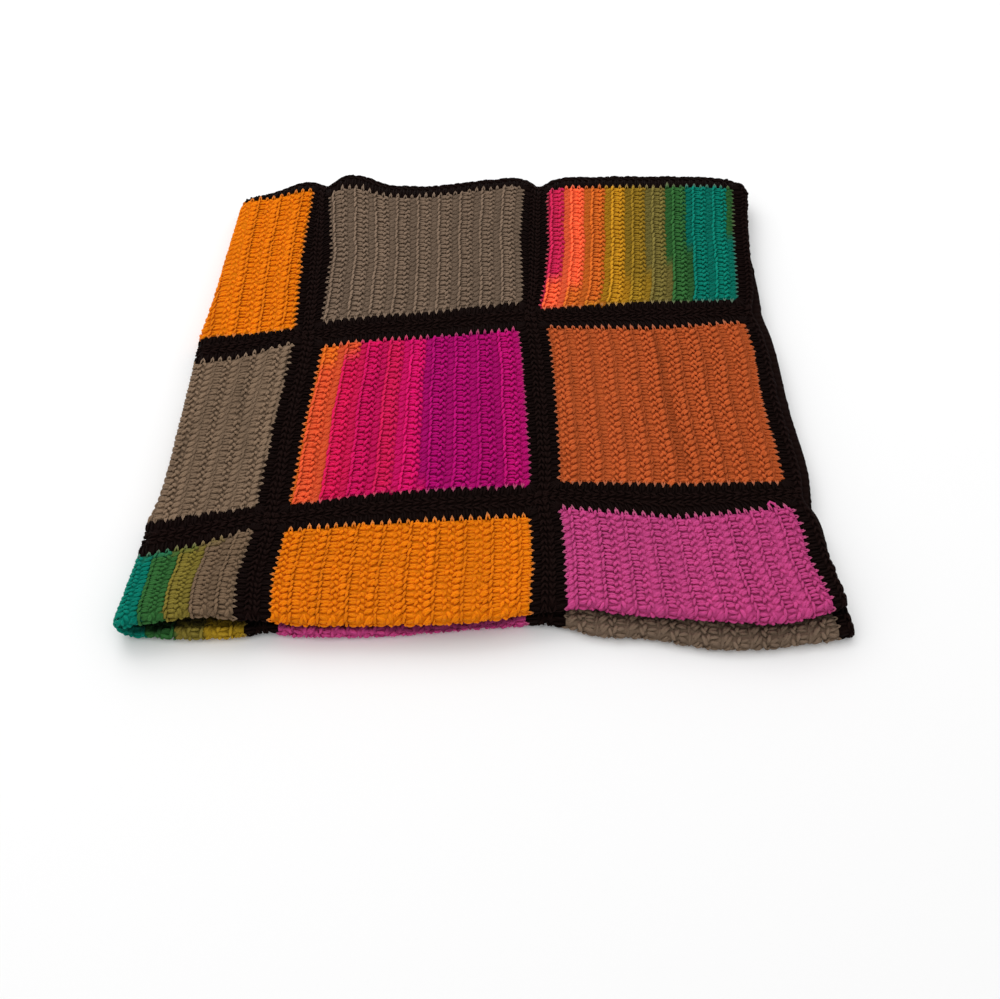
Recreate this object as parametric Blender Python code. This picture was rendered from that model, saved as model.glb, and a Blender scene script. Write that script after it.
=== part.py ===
"""Crocheted blanket of five by five bordered squares, folded in half twice and laid down.

The first fold runs along the front, so that the blanket is a pair of layers. The second runs
down the left side, so that the pair lies on itself. From the top, the four layers are the face
half of the right side, the back half of the right side, the back half of the left side and the
face half of the left side. Metres, +Z up, +X to the right, +Y to the back. The origin is under
the middle of the folded blanket, on the surface that it lies on.
"""

from math import pi

import bmesh
import bpy
import numpy as np

# One square: rows of half double crochet, with a round of dark stitches for its border.
SQUARE = 0.212
BORDER = 0.014
ACROSS = 5
ROWS = 18
ROW = (SQUARE - 2 * BORDER) / ROWS

# The cloth, and the spacing of its layers, centre to centre.
CLOTH = 0.0046
LAYER = 0.0060
RIDGE = 0.0007
SEAM_DIP = 0.0008

# The front fold lies a little off the middle, so the face half is the longer one.
OFF_MIDDLE = 0.0075
FACE_LENGTH = ACROSS * SQUARE / 2 + OFF_MIDDLE
BACK_LENGTH = ACROSS * SQUARE / 2 - OFF_MIDDLE
HALF_WIDTH = ACROSS * SQUARE / 2

# How far the cloth swells where it turns, and how far in from the turn that reaches.
FRONT_SWELL = 0.0008
SIDE_SWELL = 0.0040
SWELL_REACH = 0.060
FRONT_RADIUS = LAYER / 2 + FRONT_SWELL

# The blanket's own corners are rounded.
CORNER_RADIUS = 0.020

# Air between the upper and the lower pair: a low dome, ripples, and a mouth at the front left.
# Each ripple has its turns across and along, in radians a metre, and its start.
DOME = 0.0022
RIPPLE = 0.0011
RIPPLES = ((31, 9, 0), (-12, 23, 1))
MOUTH = 0.0042
MOUTH_AT = 0.060
MOUTH_HALF_WIDTH = 0.048
MOUTH_DEPTH = 0.070

# The face half's border hangs a little at the back edge, most at the left corner.
DROOP = 0.0025
CORNER_DROOP = 0.0075
CORNER_REACH = 0.055

# Where the first column seam and the second row seam cross, seen from the front left corner.
# A turn takes up more cloth than the ground that it covers.
SEAM_X = HALF_WIDTH - 2 * SQUARE - (pi / 2 - 1) * (LAYER + FRONT_SWELL / 2 + SIDE_SWELL / 2)
SEAM_Y = FACE_LENGTH - 2 * SQUARE - (pi / 2 - 1) * FRONT_RADIUS

# How far the folds, seams and edges stray from their even places, in millimetres, at stations
# in squares from that crossing. Across the blanket: the left fold and the right edge of each
# layer, at stations from the front to the back.
SIDE_STATIONS = (-0.53, -0.30, -0.05, 0.00, 0.08, 0.50, 0.95, 1.04, 1.15, 1.60, 2.00)
SIDE_LINES = {
    #              -.53  -.30  -.05   0.0   .08   .50   .95  1.04  1.15  1.60   2.0
    "left_fold":  ( -4,   -1,    2,    2,    5,    9,    9,    8,   11,   16,   20),
    "face_right": ( 12,    8,  3.5,    0,  2.5,  0.5, -4.5,   -9,   -6,    0,    9),
    "back_right": ( 18, 13.5,    9,    5,    8,    4,    0,   -3,   -2,   -2,    3),
    "under_back": ( 22,   14,   10,    7,    9,    5,    1,   -2,   -1,   -4,    0),
    "under_face": ( 20,   14,   11,    7,   10,    4,    0,   -3,   -2,   -5,   -2),
}
# Along the blanket: the front line of each pair, the two row seams and the back edges, at
# stations from the left to the right. The back edge is drawn in where the squares are joined.
LONG_STATIONS = (
    -0.48, -0.25, -0.07, 0.00, 0.06, 0.30, 0.50, 0.75, 0.94, 1.00, 1.07, 1.25, 1.50, 1.78, 2.00
)
LONG_LINES = {
    #              -.48  -.25  -.07   0.0   .06   .30   .50   .75   .94   1.0  1.07  1.25  1.50  1.78   2.0
    "upper_front": (  -3,  4.5,    3,  3.5,  1.5,    0,    0,    3,   11, 12.5,   15,  9.5,    4,  1.5, 15.5),
    "lower_front": (   0,   -3,    0,    3,    1,   -1,    2,  7.5,  9.5,    7,   -1,  0.5,  -11,   -7,    1),
    "near_seam":   ( -25,  -16,  -11,  -10,   -8,   -3,   -1,  1.5,  3.5,    4,    4,    4,  3.5,    3,    4),
    "far_seam":    ( -20,  -16,  -13,  -12,   -9,   -1,    3,    7,  9.5,   10,  9.5,  8.5,    8,    8,    8),
    "face_back":   ( -19,   -5,  8.5,  2.5, 17.5,    5,  4.5,   14,   13,  1.5, 12.5, 18.5, 19.5, 17.5,    9),
    "back_back":   ( -19,  -14,   -8,  -12,   -6,   -3,    2,    4,    6,    1,    6,    8,    5,    3,    2),
    "under_back":  ( -19,  -17,  -13,  -16,  -13,   -9,   -4,   -4,   -3,   -8,   -4,   -2,   -3,   -6,   -8),
}
MILLIMETRE = 0.001

# In the same squares: the front fold, the left fold and the right edge, and the back edge.
FRONT_LINE = -SEAM_Y / SQUARE
FOLD_COLUMN = -0.5
LAST_COLUMN = 2
LAST_COURSE = 2

# Steps of the solid's grid.
TURN_STEPS = 10
FRONT_STEPS = 6
PATCH_STEPS = 4
PLAIN_STEPS = 5
HAIR = 1e-6

# The finish.
BASE_COLOUR = (0.055, 0.035, 0.030, 1.0)
BASE_ROUGHNESS = 0.9


def smooth_line(x, stations, values):
    """The cubic curve through the stations, level beyond its two ends."""
    stations, values = np.asarray(stations), np.asarray(values)
    slopes = np.gradient(values, stations)
    x = np.clip(x, stations[0], stations[-1])
    i = np.clip(np.searchsorted(stations, x) - 1, 0, len(stations) - 2)
    span = stations[i + 1] - stations[i]
    t = (x - stations[i]) / span
    start = (1 + 2 * t) * (1 - t) ** 2 * values[i] + t * (1 - t) ** 2 * span * slopes[i]
    end = t * t * (3 - 2 * t) * values[i + 1] + t * t * (t - 1) * span * slopes[i + 1]
    return start + end


def fade(distance, reach):
    """1 at no distance, 0 from reach on, and level at both."""
    t = np.clip(np.abs(distance) / reach, 0, 1)
    return 1 - t * t * (3 - 2 * t)


def turn(along, radius):
    """A half turn, then straight on: the angle turned and the distance from the turn's tip."""
    angle = np.clip(along / radius, -pi / 2, pi / 2)
    past = np.maximum(np.abs(along) - radius * pi / 2, 0)
    return angle, radius * (1 - np.cos(angle)) + past


def air(x, y):
    """The gap that the two pairs leave between them, over the spacing of the layers."""
    across, along = np.clip(x / HALF_WIDTH, 0, 1), np.clip(y / HALF_WIDTH, 0, 1)
    dome = DOME * np.sin(pi * across) * np.sin(pi * along)
    ripple = 1 + sum(np.sin(a * x + b * y + start) for a, b, start in RIPPLES) / len(RIPPLES)
    mouth = MOUTH * fade(x - MOUTH_AT, MOUTH_HALF_WIDTH) * fade(y, MOUTH_DEPTH)
    return dome + RIPPLE * ripple * (1 - fade(x, SWELL_REACH)) + mouth


def fold_slide(y):
    """How far to the right the left fold crosses the cloth, at a distance from the front fold."""
    return smooth_line((y - SEAM_Y) / SQUARE, SIDE_STATIONS, SIDE_LINES["left_fold"]) * MILLIMETRE


def strays(x, y, upper, face):
    """How far a point of the even fold lies from its place, across and along the blanket.

    upper is 1 on the upper pair and 0 on the lower, and face is 1 on the face half and 0 on the
    back half. Both slide smoothly from one to the other round the folds.
    """
    column, course = (x + fold_slide(y) - SEAM_X) / SQUARE, (y - SEAM_Y) / SQUARE
    side = {name: smooth_line(course, SIDE_STATIONS, line) for name, line in SIDE_LINES.items()}
    long = {name: smooth_line(column, LONG_STATIONS, line) for name, line in LONG_LINES.items()}

    right_upper = face * side["face_right"] + (1 - face) * side["back_right"]
    right_lower = face * side["under_face"] + (1 - face) * side["under_back"]
    right = upper * right_upper + (1 - upper) * right_lower
    to_right = 1 - fade(column - FOLD_COLUMN, LAST_COLUMN - FOLD_COLUMN)
    across = side["left_fold"] * (1 - 2 * (1 - upper) * to_right) + right * to_right

    front = upper * long["upper_front"] + (1 - upper) * long["lower_front"]
    back_upper = face * long["face_back"] + (1 - face) * long["back_back"]
    back = upper * back_upper + (1 - upper) * long["under_back"]
    near, far = upper * long["near_seam"], upper * long["far_seam"]
    places = (FRONT_LINE, 0, 1, LAST_COURSE)
    shares = [smooth_line(course, places, one) for one in np.eye(len(places))]
    lengthwise = sum(share * line for share, line in zip(shares, (front, near, far, back)))
    return across * MILLIMETRE, lengthwise * MILLIMETRE


def round_corners(s, r):
    """The flat blanket's points with its four corners rounded, as an ellipse fills a square."""
    across = np.clip((np.abs(s) - HALF_WIDTH) / CORNER_RADIUS + 1, 0, 1)
    length = np.where(r > 0, FACE_LENGTH, BACK_LENGTH)
    along = np.clip((np.abs(r) - length) / CORNER_RADIUS + 1, 0, 1)
    pull_s = across * (1 - np.sqrt(1 - along**2 / 2)) * CORNER_RADIUS
    pull_r = along * (1 - np.sqrt(1 - across**2 / 2)) * CORNER_RADIUS
    return s - np.sign(s) * pull_s, r - np.sign(r) * pull_r


def place(s, r, n):
    """The point of the folded blanket for a point of the flat one.

    s runs across from the left fold, positive on the upper pair, r runs along from the front
    fold, positive on the face half, and n is the height over the cloth's middle, towards its
    right side. The turn in r is carried round the turn in s, so the corner is part of a torus.
    """
    front_angle, y = turn(r, FRONT_RADIUS)
    half = LAYER / 2 + FRONT_SWELL * fade(y - FRONT_RADIUS, SWELL_REACH)
    half = np.where(y < FRONT_RADIUS, FRONT_RADIUS, half)
    over = half * np.sin(front_angle)

    side_radius = half + (LAYER + SIDE_SWELL) / 2
    side_angle, x = turn(s - fold_slide(y), side_radius)
    swell = fade(np.maximum(x - side_radius, 0), SWELL_REACH)
    spread = 2 * half + LAYER + swell * SIDE_SWELL + (1 - swell) * air(x, y)
    middle = half + CLOTH / 2 + spread * (1 + np.sin(side_angle)) / 2

    out_x, out_z = -np.cos(side_angle), np.sin(side_angle)
    reach = over + n * np.sin(front_angle)
    upper = (1 + np.sin(side_angle)) / 2
    face = (1 + np.sin(front_angle)) / 2 * (1 - fade(y, SQUARE)) + 0.5 * fade(y, SQUARE)
    across, lengthwise = strays(x, y, upper, face)

    edge = 1 - fade(np.maximum(r - (FACE_LENGTH - BORDER), 0), BORDER)
    hang = upper * edge * (DROOP + CORNER_DROOP * fade(x, CORNER_REACH))
    return np.stack(
        [
            x + reach * out_x + across,
            y - n * np.cos(front_angle) + lengthwise,
            middle + reach * out_z - hang,
        ],
        axis=-1,
    )


def square_lines(steps):
    """The lines across one square, from its middle: patch, edge of the border, and seam."""
    patch = np.linspace(0, SQUARE / 2 - BORDER, steps + 1)
    half = np.append(patch, [SQUARE / 2 - BORDER / 2, SQUARE / 2])
    return np.concatenate([-half[-2:0:-1], half])


def lines_of_half(square, length, tip, tip_steps):
    """The grid lines from the tip of a fold out to the edge, each square with the same lines."""
    lines = list(np.linspace(0, tip, tip_steps + 1))
    first_clear = tip + ROW / 2
    spare = length - ACROSS * SQUARE / 2
    for centre in range(ACROSS // 2 + 1):
        whole = square + centre * SQUARE + spare
        lines += [line for line in whole if line > max(first_clear, lines[-1] + HAIR)]
    return np.array(lines)


def height_over_cloth(s, r):
    """The relief on the right side: a ridge for every second row, and a dip along each seam."""
    from_middle = (s + SQUARE / 2) % SQUARE - SQUARE / 2
    row = np.round(from_middle / ROW)
    on_patch = np.abs(from_middle) < SQUARE / 2 - BORDER - ROW / 2
    ridge = RIDGE * np.cos(pi * row) * on_patch
    along = r - np.sign(r) * OFF_MIDDLE
    along = (along + SQUARE / 2) % SQUARE - SQUARE / 2
    ridge = ridge * (np.abs(along) < SQUARE / 2 - BORDER + HAIR)
    seam = SQUARE / 2 - HAIR
    relief = np.where((np.abs(from_middle) > seam) | (np.abs(along) > seam), -SEAM_DIP, ridge)
    return relief * (s > 0) * (r > 0)


def build_blanket():
    """One closed sheet: the right side, the wrong side and the rim that joins them."""
    side_length = (LAYER + FRONT_SWELL + SIDE_SWELL / 2) * pi / 2
    plain = np.linspace(-SQUARE / 2, SQUARE / 2, PLAIN_STEPS + 1)[1:]
    upper = lines_of_half(square_lines(ROWS // 2), HALF_WIDTH, side_length, TURN_STEPS // 2)
    lower = lines_of_half(plain, HALF_WIDTH, side_length, TURN_STEPS // 2)
    front_length = FRONT_RADIUS * pi / 2
    course = square_lines(PATCH_STEPS // 2)
    face = lines_of_half(course, FACE_LENGTH, front_length, FRONT_STEPS // 2)
    back = lines_of_half(plain, BACK_LENGTH, front_length, FRONT_STEPS // 2)
    s_lines = np.concatenate([-lower[:0:-1], upper])
    r_lines = np.concatenate([-back[:0:-1], face])
    s, r = np.meshgrid(s_lines, r_lines, indexing="ij")
    relief = height_over_cloth(s, r)
    s = s + fold_slide(turn(r, FRONT_RADIUS)[1]) * fade(s, SEAM_X)
    s, r = round_corners(s, r)
    right_side = place(s, r, CLOTH / 2 + relief)
    wrong_side = place(s, r, np.full_like(s, -CLOTH / 2))

    form = bmesh.new()
    count_s, count_r = s.shape
    outer = [[form.verts.new(right_side[i, j]) for j in range(count_r)] for i in range(count_s)]
    inner = [[form.verts.new(wrong_side[i, j]) for j in range(count_r)] for i in range(count_s)]
    for i in range(count_s - 1):
        for j in range(count_r - 1):
            form.faces.new((outer[i][j], outer[i + 1][j], outer[i + 1][j + 1], outer[i][j + 1]))
            form.faces.new((inner[i][j], inner[i][j + 1], inner[i + 1][j + 1], inner[i + 1][j]))
    ring = [(i, 0) for i in range(count_s - 1)]
    ring += [(count_s - 1, j) for j in range(count_r - 1)]
    ring += [(i, count_r - 1) for i in range(count_s - 1, 0, -1)]
    ring += [(0, j) for j in range(count_r - 1, 0, -1)]
    for (i, j), (k, m) in zip(ring, ring[1:] + ring[:1]):
        form.faces.new((outer[i][j], inner[i][j], inner[k][m], outer[k][m]))
    low = np.minimum(right_side.min((0, 1)), wrong_side.min((0, 1)))
    high = np.maximum(right_side.max((0, 1)), wrong_side.max((0, 1)))
    middle = (low + high) / 2
    bmesh.ops.translate(form, verts=form.verts, vec=(-middle[0], -middle[1], 0))
    bmesh.ops.recalc_face_normals(form, faces=form.faces)
    mesh = bpy.data.meshes.new("blanket")
    form.to_mesh(mesh)
    form.free()
    mesh.shade_smooth()
    mesh.set_sharp_from_angle(angle=pi / 4)
    return mesh


def yarn():
    """The matt dark wool of the borders, which joins all the squares."""
    material = bpy.data.materials.new("yarn")
    material.use_nodes = True
    shader = material.node_tree.nodes["Principled BSDF"]
    shader.inputs["Base Color"].default_value = BASE_COLOUR
    shader.inputs["Roughness"].default_value = BASE_ROUGHNESS
    shader.inputs["Metallic"].default_value = 0.0
    return material


def main():
    for old in list(bpy.data.objects):
        bpy.data.objects.remove(old)
    blanket = bpy.data.objects.new("blanket", build_blanket())
    blanket.data.materials.append(yarn())
    bpy.context.scene.collection.objects.link(blanket)


main()
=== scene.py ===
"""The looks of the crocheted blanket of bordered squares, folded to a quarter and laid flat.

Metres, in the part's own frame. The flat cloth is measured from its two folds: s runs across from
the left fold, positive on the upper pair of layers, and r runs along from the front fold, positive
on the face half. n is the height over the middle of the cloth, towards its right side.
"""

from math import pi, radians

import bpy
import numpy as np
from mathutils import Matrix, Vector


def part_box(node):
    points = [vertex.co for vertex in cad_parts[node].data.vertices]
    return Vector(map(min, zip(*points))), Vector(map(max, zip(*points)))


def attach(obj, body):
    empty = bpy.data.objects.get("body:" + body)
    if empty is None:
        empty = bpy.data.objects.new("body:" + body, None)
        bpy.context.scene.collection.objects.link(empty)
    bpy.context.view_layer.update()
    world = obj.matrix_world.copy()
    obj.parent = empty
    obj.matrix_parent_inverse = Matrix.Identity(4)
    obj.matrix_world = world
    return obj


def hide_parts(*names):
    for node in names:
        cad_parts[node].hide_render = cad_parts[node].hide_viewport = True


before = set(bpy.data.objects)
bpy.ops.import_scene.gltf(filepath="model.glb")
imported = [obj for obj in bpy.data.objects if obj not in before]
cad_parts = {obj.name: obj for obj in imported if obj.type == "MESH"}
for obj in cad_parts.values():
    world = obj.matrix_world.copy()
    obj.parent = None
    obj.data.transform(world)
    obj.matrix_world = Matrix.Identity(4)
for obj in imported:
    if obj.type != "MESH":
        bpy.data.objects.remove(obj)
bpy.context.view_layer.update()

# ------------------------------
# The cloth: five by five crocheted squares sewn into one sheet, folded in half towards the back,
# then in half to the left. It is the ground: the stitches that show are worked over it further
# down, and there it is sunk to let them in.

# One square and its dark round, the squares in a row and the last of them from the middle one,
# and the rows and stitches of a square's patch.
SQUARE = 0.212
BORDER = 0.014
ACROSS = 5
OUTERMOST = ACROSS // 2
ROWS = 18
STITCHES = 26
PATCH = SQUARE - 2 * BORDER
ROW = PATCH / ROWS
STITCH = PATCH / STITCHES

# The cloth's thickness, the spacing of its layers, and where the front fold lies on the face.
CLOTH = 0.0046
LAYER = 0.006
OFF_MIDDLE = 0.0075
FACE_LENGTH = ACROSS * SQUARE / 2 + OFF_MIDDLE
BACK_LENGTH = ACROSS * SQUARE / 2 - OFF_MIDDLE
HALF_WIDTH = ACROSS * SQUARE / 2

# The swelling of the folds, and the air between the upper pair of layers and the lower.
FRONT_SWELL = 0.0008
SIDE_SWELL = 0.004
SWELL_REACH = 0.06
FRONT_RADIUS = LAYER / 2 + FRONT_SWELL
CORNER_RADIUS = 0.02
DOME = 0.0022
RIPPLE = 0.0011
RIPPLES = ((31, 9, 0), (-12, 23, 1))
MOUTH = 0.0042
MOUTH_AT = 0.06
MOUTH_HALF_WIDTH = 0.048
MOUTH_DEPTH = 0.07
DROOP = 0.0025
CORNER_DROOP = 0.0075
CORNER_REACH = 0.055

# Where the first column seam crosses the second row seam, from the front left corner, and how
# far folds, seams and edges stray from their even places, in millimetres, at stations in squares.
SEAM_X = HALF_WIDTH - 2 * SQUARE - (pi / 2 - 1) * (LAYER + FRONT_SWELL / 2 + SIDE_SWELL / 2)
SEAM_Y = FACE_LENGTH - 2 * SQUARE - (pi / 2 - 1) * FRONT_RADIUS
SIDE_STATIONS = (-0.53, -0.3, -0.05, 0, 0.08, 0.5, 0.95, 1.04, 1.15, 1.6, 2)
SIDE_LINES = {
    "left_fold":  (-4,   -1,   2, 2,   5,   9,   10, 10, 12.5, 17.5, 22),
    "face_right": (12,    8, 3.5, 0, 2.5, 0.5, -4.5, -9,   -6,    0,  9),
    "back_right": (18, 13.5,   9, 5,   8,   4,    0, -3,   -2,   -2,  3),
    "under_back": (22,   14,  10, 7,   9,   5,    1, -2,   -1,   -4,  0),
    "under_face": (20,   14,  11, 7,  10,   4,    0, -3,   -2,   -5, -2),
}
LONG_STATIONS = (-0.48, -0.25, -0.07, 0, 0.06, 0.3, 0.5, 0.75, 0.94, 1, 1.07, 1.25, 1.5, 1.78, 2)
LONG_LINES = {
    "upper_front": ( -3, 4.5,   3, 3.5,  1.5,  0,   0,   3,  11, 12.5,   15,  9.5,    4,  1.5, 15.5),
    "lower_front": (  0,  -3,   0,   3,    1, -1,   2, 7.5, 9.5,    7,    1, -2.2,  -12,   -8,    1),
    "near_seam":   (-25, -16, -11, -10,   -8, -3,  -1, 1.5, 3.5,    4,    4,    4,  3.5,    3,    4),
    "far_seam":    (-20, -16, -13, -12,   -9, -1,   3,   7, 9.5,   10,  9.5,  8.5,    8,    8,    8),
    "face_back":   (-19,  -5, 8.5, 2.5, 17.5,  5, 4.5,  14,  13,  1.5, 12.5, 18.5, 19.5, 17.5,    9),
    "back_back":   (-19, -14,  -8, -12,   -6, -3,   2,   4,   6,    1,    6,    8,    5,    3,    2),
    "under_back":  (-19, -17, -13, -16,  -13, -9,  -4,  -4,  -3,   -8,   -4,   -2,   -3,   -6,   -8),
}
MILLIMETRE = 0.001
FRONT_LINE = -SEAM_Y / SQUARE
FOLD_COLUMN = -0.5
LAST_COLUMN = 2
LAST_COURSE = 2

# How far the edges of the patches lie from their even places, in millimetres, across and along:
# column by column from the left fold, and course by course from the front fold. Then how far
# across they lie where the lower pair's front fold shows.
COLUMN_LINES = (0, 0.046, 0.092, 0.12, 0.212, 0.304, 0.332, 0.424, 0.516, 0.53)
COURSE_LINES = (-0.1, 0, 0.05, 0.0995, 0.1275, 0.2195, 0.3115, 0.3395, 0.4315, 0.5235, 0.5375)
MOVED_ACROSS = (
    (0,) * 10,
    (0, -3.7,  -7.5, -7.6, -7.3,   -7, -6.8, -2.2,  3.6,    0),
    (0, -5.2, -10.4, -9.5, -6.3, -2.4, -3.4, -3.3, -3.4,   -1),
    (0, -1.8,  -3.8, -5.3, -3.3, -2.2, -3.1, -4.2, -2.9,   -2),
    (0, -2.4,  -4.5, -4.5,   -2,  0.6, -1.6, -3.9, -6.4, -3.5),
    (0, -0.7,  -1.3, -1.2, -0.4,  0.4,  0.7, -3.6, -7.9, -5.5),
    (0,  2.3,   4.6,  5.5,  1.1, -3.2, -1.9, -3.1, -4.4, -4.5),
    (0,  2.8,   5.5,  2.7,  3.5,  4.2, -4.5,   -5, -5.5,   -3),
    (0, -0.2,  -0.5,  2.2,  0.8, -0.8,  1.4, -0.9,   -3,   -1),
    (0,  0.2,   0.2, -9.6, -5.4, -1.2, -2.5, -2.4, -2.3,    0),
    (0,  0.2,   0.2, -9.6, -5.4, -1.2, -2.5, -2.4, -2.3,    0),
)
MOVED_ALONG = (
    (0,) * 10,
    (0,) * 10,
    (-11.8,  -9.3, -1.7, -3.8, -2.6, -1.9,  2.2, -2.5,    4,    4),
    (-23.6, -18.7, -3.4, -7.4, -5.1, -3.8,  4.6,   -5,  8.1,  8.1),
    (  -10,  -5.6,   -4, -5.6,  0.5,    3,  6.8,  4.2,  8.2,  8.2),
    (-15.6, -10.3, -0.9,   -7, -4.6,    0,  3.2,  1.6,  8.3,  8.3),
    (-21.1, -14.9,  2.8, -8.4, -9.5,   -3, -0.3, -0.7,  8.3,  8.3),
    (-15.1, -11.1, -6.2, -3.1,   -1,    8,   -2,  9.4, 13.8, 13.8),
    ( -7.7,  -8.2, -4.7, -6.8, -5.1,  0.9, -5.4, -0.1,  4.2,  4.2),
    ( -0.3,  -5.4, -1.8,  -10, -9.2, -6.2, -8.8, -9.4, -5.2, -5.2),
    (0,) * 10,
)
LOW_MOVED_ACROSS = (0, 2.5, 5, 1.5, -4, -8.5, -8.5, -3, 2.5, 0)
LOW_MOVED_REACH = 0.08
LEFT_MOVED_REACH = 0.06

# Wrinkles in the upper face: the two ends of each on the flat cloth, and its depth in millimetres.
WRINKLES = (
    (0.430, 0.288, 0.437, 0.150, 1.4),
    (0.058, 0.262, 0.074, 0.195, 1.0),
    (0.026, 0.236, 0.016, 0.185, 0.9),
)
WRINKLE_HALF_WIDTH = 0.006
WRINKLE_END = 0.025
WRINKLE_SHADE = 0.19

# Below this height the wool is pressed together by the cloth's own weight on the floor.
PRESSED = 0.001

# The wools, as they look in soft light, and up to which row each runs in a self-striping square.
# A square that isn't in that list is all of the wool it is named for.
WOOLS = {
    "marigold": (240, 130, 10), "taupe": (124, 104, 87), "stone": (135, 112, 91),
    "rust": (196, 92, 44), "orchid": (202, 72, 135), "pink": (204, 38, 84), "coral": (250, 104, 62),
    "apricot": (238, 118, 34), "burnt_orange": (214, 108, 38), "gold": (192, 138, 30),
    "bronze": (150, 118, 34), "moss": (122, 110, 54), "olive": (130, 116, 48),
    "leaf": (52, 104, 52), "teal": (6, 122, 104), "crimson": (226, 27, 90),
    "magenta": (214, 20, 97), "rose": (214, 28, 88), "plum": (183, 9, 112),
    "fuchsia": (221, 20, 108), "cerise": (193, 14, 114), "tangerine": (233, 92, 51),
    "straw": (174, 140, 36), "ochre": (165, 128, 34), "mushroom": (120, 98, 77),
    "dark": (23, 11, 9),
}
COLOURWAYS = {
    "drab": (("taupe", 18),),
    "rainbow": (
        ("pink", 0.78), ("coral", 2.85), ("burnt_orange", 5.0), ("gold", 7.2), ("bronze", 8.85),
        ("ochre", 9.25), ("moss", 11.32), ("leaf", 13.45), ("teal", 17.55), ("leaf", 18),
    ),
    "sunset": (
        ("apricot", 0.12), ("tangerine", 2.08), ("crimson", 4.0), ("magenta", 6.0), ("rose", 7.0),
        ("fuchsia", 9.05), ("plum", 15.95), ("cerise", 18),
    ),
    "meadow": (
        ("straw", 2.0), ("olive", 4.0), ("leaf", 6.0), ("teal", 10.0), ("leaf", 12.0),
        ("olive", 14.0), ("mushroom", 18),
    ),
}
# The squares from the back of the face to the end of the back half, each line from left to right.
LAYOUT = (
    ("orchid", "sunset", "marigold", "taupe", "rainbow"),
    ("marigold", "rust", "stone", "sunset", "rust"),
    ("drab", "orchid", "meadow", "marigold", "orchid"),
    ("sunset", "taupe", "rust", "orchid", "taupe"),
    ("rust", "meadow", "orchid", "rainbow", "marigold"),
)
COLOUR_CHANGE = 0.1

# Where the first ridge lies in each patch, in rows from its left edge, and how many rows' width
# of a ridge's own row shows to its left and to its right.
FIRST_RIDGE = {
    (0, 0): 0.8, (1, 0): 1.3, (2, 0): 0.65, (2, 1): 1.5,
    (1, 2): 0.25, (0, 2): 1.0, (1, 1): 0.25, (2, 2): 0.25,
}
ROW_LEFT_OF_RIDGE = 0.1
ROW_RIGHT_OF_RIDGE = 1.15

# The shade painted in the crease between the upper and the lower pair, and where along the fold
# their open mouth makes it wider and deepest: its two ends from the left fold, its rise and fall.
CREASE_SHADE = 0.62
MOUTH_SHADE = 0.91
GAP_FROM_UPPER = 0.003
GAP_FROM_LOWER = 0.0022
MOUTH_LENS = 0.0045
GAP_REACH = 0.0015
SIDE_TURN = 0.0045
MOUTH_SHADE_AT = (0.010, 0.105)
MOUTH_SHADE_RISE = 0.02
MOUTH_SHADE_FALL = 0.045

# The ground's height and shade where stitches are worked over it, its full height elsewhere, and
# the width of the slope between the two. Then its own low ridges and the dip at each seam.
SUNK = 0.0009
SUNK_SHADE = 0.8
FULL = 0.0021
SUNK_EDGE = 0.006
GROUND_RIDGE = 0.0005
SEAM_DIP = 0.0009
SEAM_HALF_WIDTH = 0.0012

# What shows of each pair: all of the upper face with its two folds, and the lower front fold.
TOP_LEFT = -0.0165
TOP_FRONT = -0.0125
LOW_FRONT = 0.0125
LOW_BACK = -0.05

# The grid's steps across one patch, along it, and round each half of a fold, and how close its
# lines may lie.
PATCH_STEPS = 36
LONG_STEPS = 14
TURN_STEPS = 9
HAIR = 0.00015


def stacked(*parts):
    """Points or corners from their parts, each an array or the same number for all."""
    return np.stack(np.broadcast_arrays(*parts), axis=-1)


def joined(*arrays):
    """All the numbers of several arrays, one after another."""
    return np.concatenate([np.ravel(one) for one in arrays])


def smooth_line(x, stations, values):
    """The cubic curve through the stations, level beyond its two ends."""
    stations, values = np.asarray(stations), np.asarray(values)
    slopes = np.gradient(values, stations)
    x = np.clip(x, stations[0], stations[-1])
    i = np.clip(np.searchsorted(stations, x) - 1, 0, len(stations) - 2)
    span = stations[i + 1] - stations[i]
    t = (x - stations[i]) / span
    start = (1 + 2 * t) * (1 - t) ** 2 * values[i] + t * (1 - t) ** 2 * span * slopes[i]
    end = t * t * (3 - 2 * t) * values[i + 1] + t * t * (t - 1) * span * slopes[i + 1]
    return start + end


def fade(distance, reach):
    """1 at no distance, 0 from reach on, and level at both."""
    t = np.clip(np.abs(distance) / reach, 0, 1)
    return 1 - t * t * (3 - 2 * t)


def turn(along, radius):
    """A half turn, then straight on: the angle turned and the distance from the turn's tip."""
    angle = np.clip(along / radius, -pi / 2, pi / 2)
    past = np.maximum(np.abs(along) - radius * pi / 2, 0)
    return angle, radius * (1 - np.cos(angle)) + past


def air(x, y):
    """The gap that the two pairs leave between them, over the spacing of the layers."""
    across, along = np.clip(x / HALF_WIDTH, 0, 1), np.clip(y / HALF_WIDTH, 0, 1)
    dome = DOME * np.sin(pi * across) * np.sin(pi * along)
    ripple = 1 + sum(np.sin(a * x + b * y + start) for a, b, start in RIPPLES) / len(RIPPLES)
    mouth = MOUTH * fade(x - MOUTH_AT, MOUTH_HALF_WIDTH) * fade(y, MOUTH_DEPTH)
    return dome + RIPPLE * ripple * (1 - fade(x, SWELL_REACH)) + mouth


def fold_slide(y):
    """How far to the right the left fold crosses the cloth, at a distance from the front fold."""
    return smooth_line((y - SEAM_Y) / SQUARE, SIDE_STATIONS, SIDE_LINES["left_fold"]) * MILLIMETRE


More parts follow.
